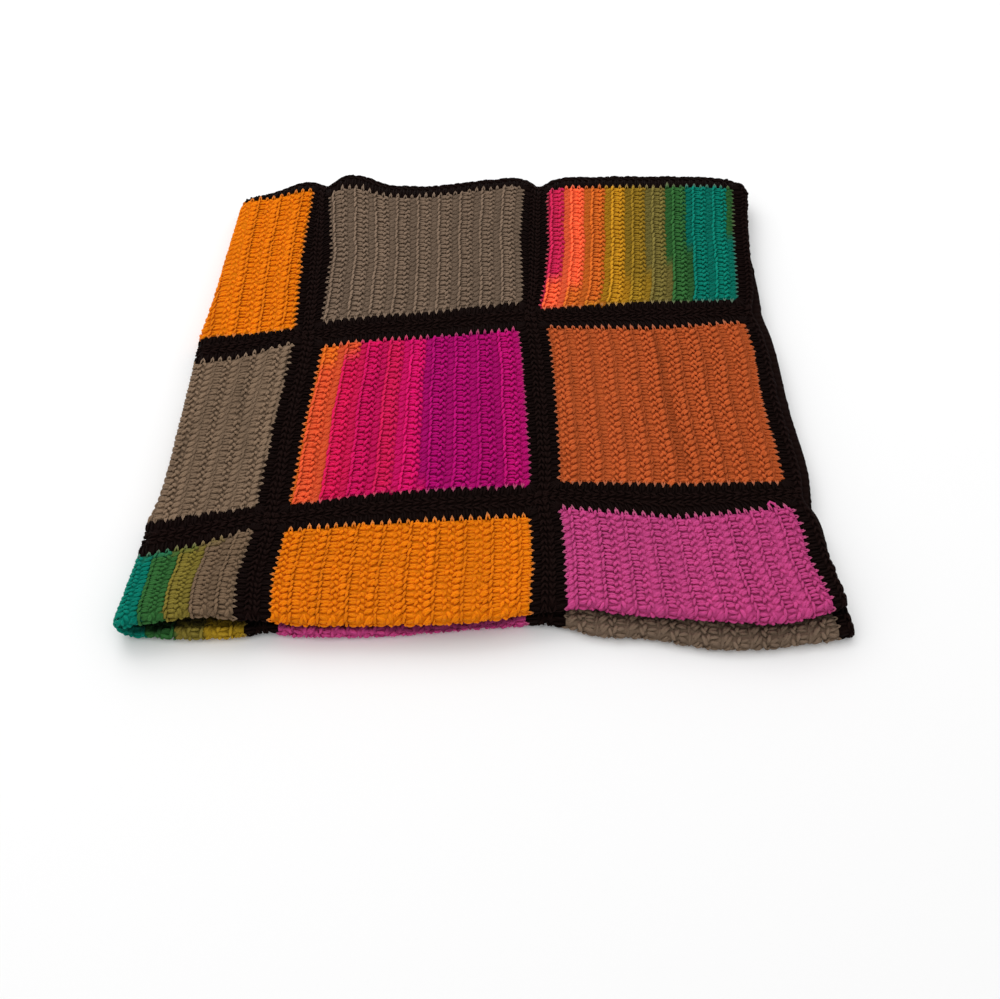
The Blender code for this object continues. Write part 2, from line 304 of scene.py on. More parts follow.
def strays(x, y, upper, face):
    """How far a point of the even fold lies from its place, across and along the blanket.

    upper is 1 on the upper pair and 0 on the lower, and face is 1 on the face half and 0 on the
    back half. Both slide smoothly from one to the other round the folds.
    """
    column, course = (x + fold_slide(y) - SEAM_X) / SQUARE, (y - SEAM_Y) / SQUARE
    side = {name: smooth_line(course, SIDE_STATIONS, line) for name, line in SIDE_LINES.items()}
    long = {name: smooth_line(column, LONG_STATIONS, line) for name, line in LONG_LINES.items()}

    right_upper = face * side["face_right"] + (1 - face) * side["back_right"]
    right_lower = face * side["under_face"] + (1 - face) * side["under_back"]
    right = upper * right_upper + (1 - upper) * right_lower
    to_right = 1 - fade(column - FOLD_COLUMN, LAST_COLUMN - FOLD_COLUMN)
    across = side["left_fold"] * (1 - 2 * (1 - upper) * to_right) + right * to_right

    front = upper * long["upper_front"] + (1 - upper) * long["lower_front"]
    back_upper = face * long["face_back"] + (1 - face) * long["back_back"]
    back = upper * back_upper + (1 - upper) * long["under_back"]
    near, far = upper * long["near_seam"], upper * long["far_seam"]
    places = (FRONT_LINE, 0, 1, LAST_COURSE)
    shares = [smooth_line(course, places, one) for one in np.eye(len(places))]
    lengthwise = sum(share * line for share, line in zip(shares, (front, near, far, back)))
    return across * MILLIMETRE, lengthwise * MILLIMETRE


def folded(s, r, n):
    """The point of the folded blanket for a point of the flat one.

    The turn in r is a half circle of the front radius. It is carried round the turn in s, a half
    circle of the side radius, so the corner is part of a torus. Then it strays as the tables say.
    """
    front_angle, y = turn(r, FRONT_RADIUS)
    half = LAYER / 2 + FRONT_SWELL * fade(y - FRONT_RADIUS, SWELL_REACH)
    half = np.where(y < FRONT_RADIUS, FRONT_RADIUS, half)
    over = half * np.sin(front_angle)

    side_radius = half + (LAYER + SIDE_SWELL) / 2
    side_angle, x = turn(s - fold_slide(y), side_radius)
    swell = fade(np.maximum(x - side_radius, 0), SWELL_REACH)
    spread = 2 * half + LAYER + swell * SIDE_SWELL + (1 - swell) * air(x, y)
    middle = half + CLOTH / 2 + spread * (1 + np.sin(side_angle)) / 2

    out_x, out_z = -np.cos(side_angle), np.sin(side_angle)
    reach = over + n * np.sin(front_angle)
    upper = (1 + np.sin(side_angle)) / 2
    face = (1 + np.sin(front_angle)) / 2 * (1 - fade(y, SQUARE)) + 0.5 * fade(y, SQUARE)
    across, lengthwise = strays(x, y, upper, face)
    new_x = x + reach * out_x + across
    new_y = y - n * np.cos(front_angle) + lengthwise

    edge = 1 - fade(np.maximum(r - (FACE_LENGTH - BORDER), 0), BORDER)
    hang = upper * edge * (DROOP + CORNER_DROOP * fade(x, CORNER_REACH))
    return stacked(new_x, new_y, middle + reach * out_z - hang)


def round_corners(s, r):
    """The flat blanket's points with its four corners rounded, as an ellipse fills a square."""
    across = np.clip((np.abs(s) - HALF_WIDTH) / CORNER_RADIUS + 1, 0, 1)
    length = np.where(r > 0, FACE_LENGTH, BACK_LENGTH)
    along = np.clip((np.abs(r) - length) / CORNER_RADIUS + 1, 0, 1)
    pull_s = across * (1 - np.sqrt(1 - along**2 / 2)) * CORNER_RADIUS
    pull_r = along * (1 - np.sqrt(1 - across**2 / 2)) * CORNER_RADIUS
    return s - np.sign(s) * pull_s, r - np.sign(r) * pull_r


# The cloth is laid out once as the solid has it, in fine steps, to set its box on the solid's box.
FINE_STEPS = 401
edge_s, edge_r = np.meshgrid(
    np.linspace(-HALF_WIDTH, HALF_WIDTH, FINE_STEPS),
    np.linspace(-BACK_LENGTH, FACE_LENGTH, FINE_STEPS),
)
faces_of_cloth = np.stack([folded(edge_s, edge_r, n) for n in (-CLOTH / 2, CLOTH / 2)])
laid_middle = (faces_of_cloth.min((0, 1, 2)) + faces_of_cloth.max((0, 1, 2))) / 2
solid_middle = np.mean(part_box("blanket"), axis=0)
SHIFT = (solid_middle - laid_middle) * [1, 1, 0]


def between_lines(s, r, values):
    """A table's value at a point: straight between its lines both ways, level beyond them."""
    shares = [np.interp(r, COURSE_LINES, one) for one in np.eye(len(COURSE_LINES))]
    lines = [np.interp(s, COLUMN_LINES, line) for line in values]
    return sum(share * line for share, line in zip(shares, lines)) * MILLIMETRE


def hand_made(s, r):
    """The even cloth's points where the hand-made cloth has them, as the tables say."""
    right = between_lines(s, r, MOVED_ACROSS)
    low = np.interp(-s, COLUMN_LINES, LOW_MOVED_ACROSS) * fade(r, LOW_MOVED_REACH) * MILLIMETRE
    along = between_lines(s, r, MOVED_ALONG) * fade(np.minimum(s, 0), LEFT_MOVED_REACH)
    return s + np.where(s > 0, right, -low), r + along


def wrinkles(s, r):
    """How deep the cloth dips at a point, in millimetres: a soft groove along each of the lines."""
    depth = np.zeros(s.shape)
    for start_s, start_r, end_s, end_r, deep in WRINKLES:
        length = np.hypot(end_s - start_s, end_r - start_r)
        to_s, to_r = (end_s - start_s) / length, (end_r - start_r) / length
        along = (s - start_s) * to_s + (r - start_r) * to_r
        off = (s - start_s) * to_r - (r - start_r) * to_s
        past = np.maximum(np.maximum(-along, along - length), 0)
        depth += deep * fade(off, WRINKLE_HALF_WIDTH) * fade(past, WRINKLE_END)
    return depth


def laid(s, r, n):
    """The point in the part's frame for a point of the flat cloth."""
    depth = wrinkles(s, r)
    s, r = hand_made(*round_corners(s, r))
    place = folded(s, r, n) + SHIFT
    place[..., 2] -= depth * MILLIMETRE
    return place


def from_square(s, r):
    """The column and course of a point's square, the point from its middle, and if in the patch."""
    column = np.clip(np.round(s / SQUARE), -OUTERMOST, OUTERMOST).astype(int)
    course = np.clip(np.round((r - OFF_MIDDLE) / SQUARE), -OUTERMOST, OUTERMOST).astype(int)
    u, v = s - column * SQUARE, r - OFF_MIDDLE - course * SQUARE
    return column, course, u, v, np.maximum(np.abs(u), np.abs(v)) < PATCH / 2


def square_at(place):
    """The middle of a square on the flat cloth, and its colourway."""
    column, course = place
    centre = np.array([column * SQUARE, course * SQUARE + OFF_MIDDLE, 0.0])
    return centre, LAYOUT[OUTERMOST - course][column + OUTERMOST]


def linear(colour):
    """A colour as it looks, 0 to 255, as the light that it gives back."""
    share = np.asarray(colour) / 255
    return np.where(share < 0.04045, share / 12.92, ((share + 0.055) / 1.055) ** 2.4)


def wool_along(colourway, used):
    """The colour of the yarn after so many rows: each run's wool, with a short change between."""
    runs = COLOURWAYS.get(colourway, ((colourway, ROWS),))
    colour = np.broadcast_to(linear(WOOLS[runs[0][0]]), used.shape + (3,))
    for (_, end), (wool, _) in zip(runs, runs[1:]):
        t = np.clip((used - end) / COLOUR_CHANGE + 0.5, 0, 1)[..., None]
        colour = colour * (1 - t) + linear(WOOLS[wool]) * t
    return colour


def yarn_used(row, v):
    """The rows worked up to a stitch. Each row turns back on the last, the first towards the front."""
    along = np.clip(v / PATCH + 0.5, 0, 1)
    return row + np.where(row % 2 == 0, 1 - along, along)


def wool_at(place, u, v):
    """The wool that shows at a point of a patch. A ridge's own row is even, the one between odd."""
    since = (u / PATCH + 0.5) * ROWS - FIRST_RIDGE.get(place, 0.0) + ROW_LEFT_OF_RIDGE
    rib = np.floor(since / 2)
    row = 2 * rib + (since - 2 * rib > ROW_LEFT_OF_RIDGE + ROW_RIGHT_OF_RIDGE)
    return wool_along(square_at(place)[1], yarn_used(row, v))


def cloth_colour(s, r):
    """The wool at a point of the flat cloth: a square's own in its patch, dark round about."""
    column, course, u, v, on_patch = from_square(s, r)
    colour = np.broadcast_to(linear(WOOLS["dark"]), s.shape + (3,)).copy()
    for i, j in np.ndindex(ACROSS, ACROSS):
        place = (i - OUTERMOST, j - OUTERMOST)
        here = on_patch & (column == place[0]) & (course == place[1])
        colour[here] = wool_at(place, u[here], v[here])
    return colour


def shown(s, r):
    """How far in a point is where stitches are worked one by one, on the upper pair and the lower."""
    from_fold = s - fold_slide(turn(r, FRONT_RADIUS)[1])
    upper = np.minimum(from_fold - TOP_LEFT, r - TOP_FRONT)
    return upper, np.minimum(np.minimum(LOW_FRONT - r, r - LOW_BACK), TOP_LEFT - from_fold)


def sunk_share(s, r):
    """1 where the ground is sunk under its stitches, 0 where it stands full."""
    return np.clip(np.maximum(*shown(s, r)) / SUNK_EDGE, 0, 1)


def crease_shade(s, r):
    """The shade in the wrinkles and between the pairs' front folds, deepest in their open mouth.

    On the lower pair it starts at a distance behind the upper pair's edge, on the upper underneath.
    """
    column = (np.abs(s) - SEAM_X - SIDE_TURN) / SQUARE
    apart = np.subtract(LONG_LINES["upper_front"], LONG_LINES["lower_front"])
    step = smooth_line(column, LONG_STATIONS, apart) * MILLIMETRE
    from_left = -s - MOUTH_SHADE_AT[0]
    in_mouth = np.minimum(from_left / MOUTH_SHADE_RISE, (MOUTH_SHADE_AT[1] + s) / MOUTH_SHADE_FALL)
    in_mouth = np.clip(in_mouth, 0, 1)
    starts = np.where(s > 0, GAP_FROM_UPPER, step + GAP_FROM_LOWER - MOUTH_LENS * in_mouth)
    deep = CREASE_SHADE + (MOUTH_SHADE - CREASE_SHADE) * in_mouth
    shade = 1 - deep * np.clip((-r - starts) / GAP_REACH, 0, 1)
    return shade * (1 - WRINKLE_SHADE * wrinkles(s, r))


def ground_height(s, r):
    """The height of the right side: a ridge for every second row, sunk where its stitches show."""
    _, _, u, v, on_patch = from_square(s, r)
    ridge = GROUND_RIDGE * np.cos(pi * (u + PATCH / 2) / ROW) * on_patch
    from_seam = np.minimum(SQUARE / 2 - np.abs(u), SQUARE / 2 - np.abs(v))
    dip = SEAM_DIP * (np.abs(from_seam) < SEAM_HALF_WIDTH / 2)
    return FULL + (SUNK - FULL) * sunk_share(s, r) + ridge - dip


def lines_of_square(steps):
    """The grid lines across one square, from its middle: patch, both sides of its edge, seam."""
    half = PATCH / 2
    patch = np.linspace(-half + HAIR, half - HAIR, steps + 1)
    border = half + np.array([HAIR, BORDER / 3, 2 * BORDER / 3, BORDER - SEAM_HALF_WIDTH])
    return joined(-border[::-1], patch, border, SQUARE / 2)


def lines_of_cloth(steps, length, spare, tip):
    """The grid lines of one half of the cloth, close together round the fold at its start."""
    lines = list(np.linspace(0, tip, TURN_STEPS + 1))
    for square in range(OUTERMOST + 1):
        whole = lines_of_square(steps) + square * SQUARE + spare
        lines += [line for line in whole if line > max(tip, lines[-1]) + HAIR and line <= length]
    if length - lines[-1] > HAIR:
        lines.append(length)
    return np.array(lines)


def scene_object(name, data):
    """An object in the scene."""
    made = bpy.data.objects.new(name, data)
    bpy.context.scene.collection.objects.link(made)
    return made


def put_mesh(name, points, corners, sizes, colours, maps, material):
    """A mesh of points and of faces with that many corners each, its colours and its maps.

    What would go below the pressed height p is squeezed above the floor, to p exp((z - p) / p).
    """
    points = points.reshape(-1, 3)
    squeezed = PRESSED * np.exp(np.minimum(points[:, 2] - PRESSED, 0) / PRESSED)
    points[:, 2] = np.where(points[:, 2] < PRESSED, squeezed, points[:, 2])
    mesh = bpy.data.meshes.new(name)
    mesh.vertices.add(len(points))
    mesh.vertices.foreach_set("co", points.astype(np.float32).ravel())
    mesh.loops.add(len(corners))
    mesh.loops.foreach_set("vertex_index", corners.astype(np.int32))
    mesh.polygons.add(len(sizes))
    starts = np.cumsum(sizes) - sizes
    mesh.polygons.foreach_set("loop_start", starts.astype(np.int32))
    mesh.update(calc_edges=True)
    for map_name, places in maps.items():
        layer = mesh.uv_layers.new(name=map_name)
        layer.data.foreach_set("uv", places.astype(np.float32).ravel())
    wool = mesh.color_attributes.new(name="wool", type="FLOAT_COLOR", domain="POINT")
    rgba = np.insert(colours.reshape(-1, 3), 3, 1.0, axis=1)
    wool.data.foreach_set("color", rgba.astype(np.float32).ravel())
    mesh.shade_smooth()
    mesh.materials.append(material)
    return scene_object(name, mesh)


def fill(tree, made, inputs):
    """The same node, with each input set to a value or linked to another's output."""
    for place, value in dict(inputs).items():
        if isinstance(value, bpy.types.NodeSocket):
            tree.links.new(value, made.inputs[place])
        else:
            made.inputs[place].default_value = value
    return made


def node(tree, kind, inputs=(), **settings):
    """A new shader node with its settings and its inputs."""
    made = tree.nodes.new("ShaderNode" + kind)
    for name, value in settings.items():
        setattr(made, name, value)
    return fill(tree, made, inputs)


def sums(tree, operation, *values):
    """The result of a sum of values and outputs."""
    return node(tree, "Math", enumerate(values), operation=operation).outputs["Value"]


def bulges(tree, place):
    """A bulge from each whole number to the next: the absolute sine of pi times the place."""
    return sums(tree, "ABSOLUTE", sums(tree, "SINE", sums(tree, "MULTIPLY", place, pi)))


def shader_group(name, inputs, outputs):
    """A new group and its two end nodes. Named numbers go in, with their usual values, and out."""
    group = bpy.data.node_groups.new(name, "ShaderNodeTree")
    for title, value in inputs.items():
        made = group.interface.new_socket(name=title, in_out="INPUT", socket_type="NodeSocketFloat")
        made.default_value = value
    for title in outputs:
        group.interface.new_socket(name=title, in_out="OUTPUT", socket_type="NodeSocketFloat")
    return group, group.nodes.new("NodeGroupInput"), group.nodes.new("NodeGroupOutput")


def map_parts(group, name):
    """The two numbers of a map at the shaded point."""
    place = node(group, "UVMap", uv_map=name).outputs["UV"]
    parts = node(group, "SeparateXYZ", {"Vector": place}).outputs
    return parts["X"], parts["Y"]


def fuzz_group():
    """Short wool hairs: a fine height and a slight mottling, from noise in the cloth's own place."""
    usual = {"Scale": 700.0, "Mottling": 0.3}
    group, asked, given = shader_group("wool_fuzz", usual, ["Height", "Shade"])
    hairs = node(group, "TexNoise", {
        "Vector": node(group, "TexCoord").outputs["Object"], "Scale": asked.outputs["Scale"],
        "Detail": 3.0, "Roughness": 0.65,
    }).outputs["Fac"]
    spread = sums(group, "SUBTRACT", hairs, 0.5)
    shade = sums(group, "MULTIPLY_ADD", spread, asked.outputs["Mottling"], 1.0)
    fill(group, given, {"Height": hairs, "Shade": shade})
    return group


def stitch_group():
    """Stitches too small to model: a height from two waves, along the rows and across them."""
    group, _, given = shader_group("stitch_relief", {}, ["Height"])
    across, along = map_parts(group, "stitches")
    height = sums(group, "ADD", bulges(group, across), bulges(group, along))
    fill(group, given, {"Height": height})
    return group


def wool_material(name, relief, depth, roughness, sheen=0.0):
    """Matt wool: the colour of each stitch, mottled, with its relief and its fuzz as bumps."""
    material = bpy.data.materials.new(name)
    material.use_nodes = True
    tree = material.node_tree
    colour = node(tree, "Attribute", attribute_name="wool").outputs["Color"]
    fuzz = node(tree, "Group", node_tree=fuzz_nodes).outputs
    form = node(tree, "Group", node_tree=relief).outputs
    shaded = node(tree, "VectorMath", {0: colour, "Scale": fuzz["Shade"]}, operation="SCALE")
    coarse = node(tree, "Bump", {"Height": form["Height"], "Distance": depth, "Strength": 1.0})
    fine = node(tree, "Bump", {
        "Height": fuzz["Height"], "Distance": 0.0003, "Strength": 0.7,
        "Normal": coarse.outputs["Normal"],
    })
    fill(tree, tree.nodes["Principled BSDF"], {
        "Base Color": shaded.outputs["Vector"], "Normal": fine.outputs["Normal"],
        "Roughness": roughness, "Specular IOR Level": 0.04,
        "Sheen Weight": sheen, "Sheen Roughness": 0.5,
    })
    return material


def build_cloth():
    """One closed sheet: a grid of the right side, a grid of the wrong side and the rim between."""
    side_tip = (LAYER + FRONT_SWELL + SIDE_SWELL / 2) * pi / 2
    front_tip = FRONT_RADIUS * pi / 2
    half_s = lines_of_cloth(PATCH_STEPS, HALF_WIDTH, 0.0, side_tip)
    face = lines_of_cloth(LONG_STEPS, FACE_LENGTH, OFF_MIDDLE, front_tip)
    back = lines_of_cloth(LONG_STEPS, BACK_LENGTH, -OFF_MIDDLE, front_tip)
    s_lines, r_lines = joined(-half_s[:0:-1], half_s), joined(-back[:0:-1], face)
    s, r = np.meshgrid(s_lines, r_lines, indexing="ij")
    s = s + fold_slide(turn(r, FRONT_RADIUS)[1]) * fade(s, SEAM_X)
    colour = cloth_colour(s, r)
    shade = (1 + (SUNK_SHADE - 1) * sunk_share(s, r)) * crease_shade(s, r)
    points = joined(laid(s, r, ground_height(s, r)), laid(s, r, -CLOTH / 2))
    colours = joined(colour * shade[..., None], colour)

    number = np.arange(s.size).reshape(s.shape)
    top = stacked(number[:-1, :-1], number[1:, :-1], number[1:, 1:], number[:-1, 1:])
    under = top[..., ::-1] + number.size
    ring = joined(number[:-1, 0], number[-1, :-1], number[:0:-1, -1], number[0, :0:-1])
    after = np.roll(ring, -1)
    rim = stacked(ring, ring + number.size, after + number.size, after)
    corners = joined(top, under, rim)
    sizes = np.full(len(corners) // 4, 4)
    flat = stacked(s.ravel(), r.ravel())[corners % number.size]
    own_place = (flat + [HALF_WIDTH, BACK_LENGTH]) / [2 * HALF_WIDTH, FACE_LENGTH + BACK_LENGTH]
    own_place[:, 0] = (own_place[:, 0] + (np.arange(len(corners)) >= top.size)) / 2
    stitches = (flat + [PATCH / 2, PATCH / 2 - OFF_MIDDLE]) / [ROW, STITCH]
    maps = {"OFBake": own_place, "stitches": stitches}
    return put_mesh("cloth", points, corners, sizes, colours, maps, ground_wool)


fuzz_nodes = fuzz_group()
ground_wool = wool_material("ground_wool", stitch_group(), depth=0.0016, roughness=0.92)
cloth = build_cloth()
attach(cloth, "root")
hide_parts("blanket")

# ------------------------------
# The patches: rows of half double crochet in thick soft wool, worked back and forth across each
# square, so a row's right side and the next one's wrong side show in turn. The loops at the ends
# of the rows and along the first and last row are drawn out into the border as small teeth.

# The strands of one stitch in two rows: the row of each, its half thickness in millimetres, and its
# points, across the rows from the ridge, along them, and over the middle of the cloth.
TWO_ROWS = {
    "ridge": (0, 1.25, (
        (-1.0, -0.9, 0.9), (-0.7, 1.0, 1.7), (-0.3, 2.9, 2.0),
        (0.1, 4.8, 2.0), (0.5, 6.7, 1.7), (0.8, 8.5, 0.8),
    )),
    "near_leg": (0, 1.5, (
        (0.4, 1.7, 0.3), (1.8, 1.8, 1.3), (3.5, 2.0, 1.7),
        (5.3, 2.3, 1.6), (7.0, 2.7, 1.2), (8.4, 3.1, 0.4),
    )),
    "far_leg": (0, 1.5, (
        (0.4, 5.2, 0.3), (1.8, 5.1, 1.3), (3.5, 4.9, 1.7),
        (5.3, 4.7, 1.6), (7.0, 4.5, 1.2), (8.4, 4.3, 0.4),
    )),
    "left_of_chain": (0, 1.6, (
        (7.2, -1.0, 0.8), (7.7, 0.5, 1.6), (8.5, 2.0, 1.9), (9.3, 3.5, 1.6), (9.9, 5.0, 0.8),
    )),
    "right_of_chain": (0, 1.6, (
        (12.6, 1.2, 0.6), (12.1, 2.7, 1.5), (11.2, 4.2, 1.8), (10.3, 5.7, 1.5), (9.6, 7.2, 0.7),
    )),
    "near_slant": (1, 1.6, (
        (12.4, -1.9, 0.4), (13.4, -0.5, 1.2), (14.7, 1.0, 1.5),
        (16.1, 2.4, 1.4), (17.5, 3.7, 1.1), (18.8, 4.9, 0.4),
    )),
    "far_slant": (1, 1.6, (
        (14.2, -2.6, 0.4), (15.2, -1.3, 1.2), (16.3, 0.1, 1.5),
        (17.4, 1.4, 1.4), (18.5, 2.6, 1.1), (19.5, 3.8, 0.4),
    )),
}
# Across the two rows from the ridge, how much the stitches stand up, in millimetres, and the light
# and shade painted on them, as a share, lighter where they stand up and darker where they sink:
# where the ridges stand as ribs, and where the legs sink as ladders.
FROM_RIDGE = (-1.5, 0.0, 1.0, 2.5, 6.0, 10.0, 14.0, 18.0, 20.4)
RIBS = (
    (0.5, 1.0, 0.5, -0.2, 0.0, 0.3, -0.3, -0.7, 0.5),
    (0.26, 0.26, 0.18, -0.16, 0.32, 0.16, -0.20, -0.32, -0.40),
)
LADDERS = (
    (-0.7, -0.8, -0.5, -0.3, -0.1, 0.2, 0.1, 0.0, -0.3),
    (-0.24, -0.24, -0.22, -0.18, -0.02, 0.10, 0.05, 0.03, -0.05),
)
# How much of the ribs and of the ladders the squares of each kind have.
RIB_SHARES = {
    "rainbow": (1.0, 0.0), "taupe": (0.9, 0.0), "sunset": (0.5, 0.0),
    "meadow": (0.3, 0.0), "marigold": (0.0, 0.3), "rust": (0.0, 1.0),
    "orchid": (0.0, 0.15), "stone": (0.0, 0.7), "drab": (0.0, 0.6),
}
# A tooth: a loop out of the patch's edge and back, across the edge, along it and up. Those at the
# ends of the rows are longer, and all of them fade outwards, where their wool is drawn thin.
TOOTH = (0.80, (
    (-2.6, -1.4, 0.8), (-0.9, -1.2, 1.8), (0.8, -0.7, 2.2), (2.1, 0.0, 2.0),
    (0.8, 0.7, 2.1), (-0.9, 1.1, 1.7), (-2.6, 1.3, 0.6),
))
END_TEETH_LONGER = 1.5
TOOTH_STRAY = 0.22
TOOTH_FADE = 0.4
TOOTH_FADE_AT = 0.003
PALE_FLUFF = (176, 150, 128)
# One stitch has worked loose, at the far edge of the front right square: the square, the side of
# its patch, the place along that side, and a round loop given as the teeth are.
LOOSE_AT = ((2, 0), 1, -0.0785)
LOOSE_LOOP = (1.2, (
    (-2.4, -0.7, 1.0), (0.8, -2.5, 2.6), (3.4, -2.8, 3.2), (5.6, 0.0, 3.4),
    (3.4, 2.8, 3.2), (0.8, 2.5, 2.6), (-2.4, 0.7, 1.0),
))

# A strand: its sides, its taper and flatness, a step to find which way is up, its plies, their
# turn's length and height, the shade of what lies deep, and the margin of its field in the map.
SIDES = 5
END_TAPER = 0.78
FLATTENED = 0.92
STEP_UP = 0.0005
PLIES = 4.0
TWIST = 0.0032
PLY_HEIGHT = 0.0003
DEEP_SHADE = 0.92
DEEP_FROM = 0.0004
DEEP_TO = 0.0018
FIELD_MARGIN = 0.06

# The squares that show, and the column and course of each from the middle one.
PIECES = {
    "back_left": (0, 2), "back_middle": (1, 2), "back_right": (2, 2),
    "middle_left": (0, 1), "centre": (1, 1), "middle_right": (2, 1),
    "front_left": (0, 0), "front_middle": (1, 0), "front_right": (2, 0),
    "under_left": (0, 0), "under_middle": (-1, 0), "under_right": (-2, 0),
}

# How far hand work strays: places, rows and the height of ribs in millimetres, width and tone as
# shares. And how many times a rib sways along itself, and its stitches lag.
STRAY = (0.26, 0.34, 0.16)
WIDTH_STRAY = 0.07
SHADE_STRAY = 0.045
ROW_STRAY = 0.55
RIB_LIFT = 0.15
RIB_TONE = 0.03
SWAYS = (1.3, 2.9)
LAGS = 0.9
RIB_COUNT = ROWS // 2 + 2
PAST_END = 0.3 * STITCH

chance = np.random.default_rng(11)


def twist_group():
    """Plied yarn: bulges that wind round the strand, from its map of turns round and along."""
    group, _, given = shader_group("ply_twist", {}, ["Height"])
    around, along = map_parts(group, "strand")
    wound = sums(group, "MULTIPLY_ADD", around, PLIES, along)
    fill(group, given, {"Height": bulges(group, wound)})
    return group


def unit(vectors):
    """The same directions, one long."""
    return vectors / np.maximum(np.linalg.norm(vectors, axis=-1, keepdims=True), 1e-12)


def strands(lines, half_thickness, colours):
    """Closed tubes along many lines of s, r and n at once, tapering to a point at both ends.

    A ring stands at every inner point of a line, square to it: the point plus the half thickness
    times the cosine of the angle sideways and its sine upwards. Returns points, corners, face
    sizes, colours and the two maps.
    """
    many, long = lines.shape[:2]
    rings = long - 2
    s, r, n = np.moveaxis(lines, -1, 0)
    centre = laid(s, r, n)
    up = unit(laid(s, r, n + STEP_UP) - centre)
    forward = unit(np.gradient(centre, axis=1))
    side = unit(np.cross(forward, up))
    up = FLATTENED * np.cross(side, forward)
    angle = (2 * pi * np.arange(SIDES) / SIDES + pi / 2)[:, None]
    taper = np.ones((rings, 1, 1))
    taper[0] = taper[-1] = END_TAPER
    out = np.cos(angle) * side[:, 1:-1, None] + np.sin(angle) * up[:, 1:-1, None]
    ring_points = centre[:, 1:-1, None] + out * half_thickness[:, None, None, None] * taper
    points = np.concatenate([ring_points.reshape(many, -1, 3), centre[:, :1], centre[:, -1:]], axis=1)

    ring = np.arange(rings * SIDES).reshape(rings, SIDES)
    turned = np.roll(ring, -1, axis=1)
    quads = stacked(ring[:-1], ring[1:], turned[1:], turned[:-1])
    start_cap = stacked(rings * SIDES, ring[0], turned[0])
    end_cap = stacked(rings * SIDES + 1, turned[-1], ring[-1])
    corners = joined(quads, start_cap, end_cap)
    sizes = np.repeat([4, 3], [quads.size // 4, 2 * SIDES])

    j, k = np.arange(SIDES)[:, None], np.arange(rings - 1)[:, None, None]
    quad_round = np.broadcast_to(j + [0, 0, 1, 1], quads.shape)
    quad_along = np.broadcast_to(k + [1, 2, 2, 1], quads.shape)
    around = joined(quad_round, j + [0.5, 0, 1], j + [0.5, 1, 0]) / SIDES
    along = joined(quad_along, [0, 1, 1] * SIDES, [long - 1, rings, rings] * SIDES)

    step = np.linalg.norm(np.diff(centre, axis=1), axis=-1)
    length = np.concatenate([np.zeros((many, 1)), np.cumsum(step, axis=1)], axis=1)
    strand_map, own = stacked(around, length[:, along] / TWIST), stacked(along / (long - 1), around)

    deep = np.clip((n - DEEP_FROM) / (DEEP_TO - DEEP_FROM), 0, 1)
    tone = (DEEP_SHADE + (1 - DEEP_SHADE) * deep)[..., None] * colours
    ring_tone = np.repeat(tone[:, 1:-1], SIDES, axis=1)
    tones = np.concatenate([ring_tone, tone[:, :1], tone[:, -1:]], axis=1)
    return points, corners, sizes, tones, strand_map, own


def yarn_piece(name, bundles, material):
    """One mesh of several bundles of strands, each strand with its own field of the bake map."""
    made = [strands(*bundle) for bundle in bundles]
    fields = int(np.ceil(np.sqrt(sum(len(points) for points, *_ in made))))
    parts = []
    first, number = 0, 0
    for points, corners, sizes, tones, strand_map, own in made:
        many, each = points.shape[:2]
        starts = first + each * np.arange(many)[:, None]
        which = number + np.arange(many)[:, None]
        field = stacked(which % fields, which // fields)
        places = (field + FIELD_MARGIN + own * (1 - 2 * FIELD_MARGIN)) / fields
        parts.append((points, corners + starts, np.tile(sizes, many), tones, places, strand_map))
        first += each * many
        number += many
    points, corners, sizes, tones, places, strand_map = (joined(*part) for part in zip(*parts))
    maps = {"OFBake": places, "strand": strand_map}
    piece = put_mesh(name, points, corners, sizes, tones, maps, material)
    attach(piece, "root")
    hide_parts("blanket")
    return piece


def by_hand(lines, half_thickness, colours):
    """The same strands as hand work leaves them: each a little off, thicker or thinner, in tone."""
    many = len(lines)
    off = chance.normal(0, 1, (many, 1, 3)) * STRAY
    slant = chance.normal(0, 1, (many, 1, 3)) * STRAY * np.linspace(-1, 1, lines.shape[1])[:, None]
    width = half_thickness * (1 + chance.normal(0, WIDTH_STRAY, many)) * MILLIMETRE
    tone = colours * (1 + chance.normal(0, SHADE_STRAY, many))[:, None, None]
    return lines + (off + slant) * MILLIMETRE, width, tone


def kept(lines, colours, upper):
    """The strands that lie where the stitches show, on the upper pair or on the lower."""
    middle = lines.mean(axis=1)
    on_upper, on_lower = shown(middle[:, 0], middle[:, 1])
    keep = (on_upper if upper else on_lower) > 0
    lines, colours = lines[keep], colours[keep]
    return lines, colours * crease_shade(lines[..., 0], lines[..., 1])[..., None]


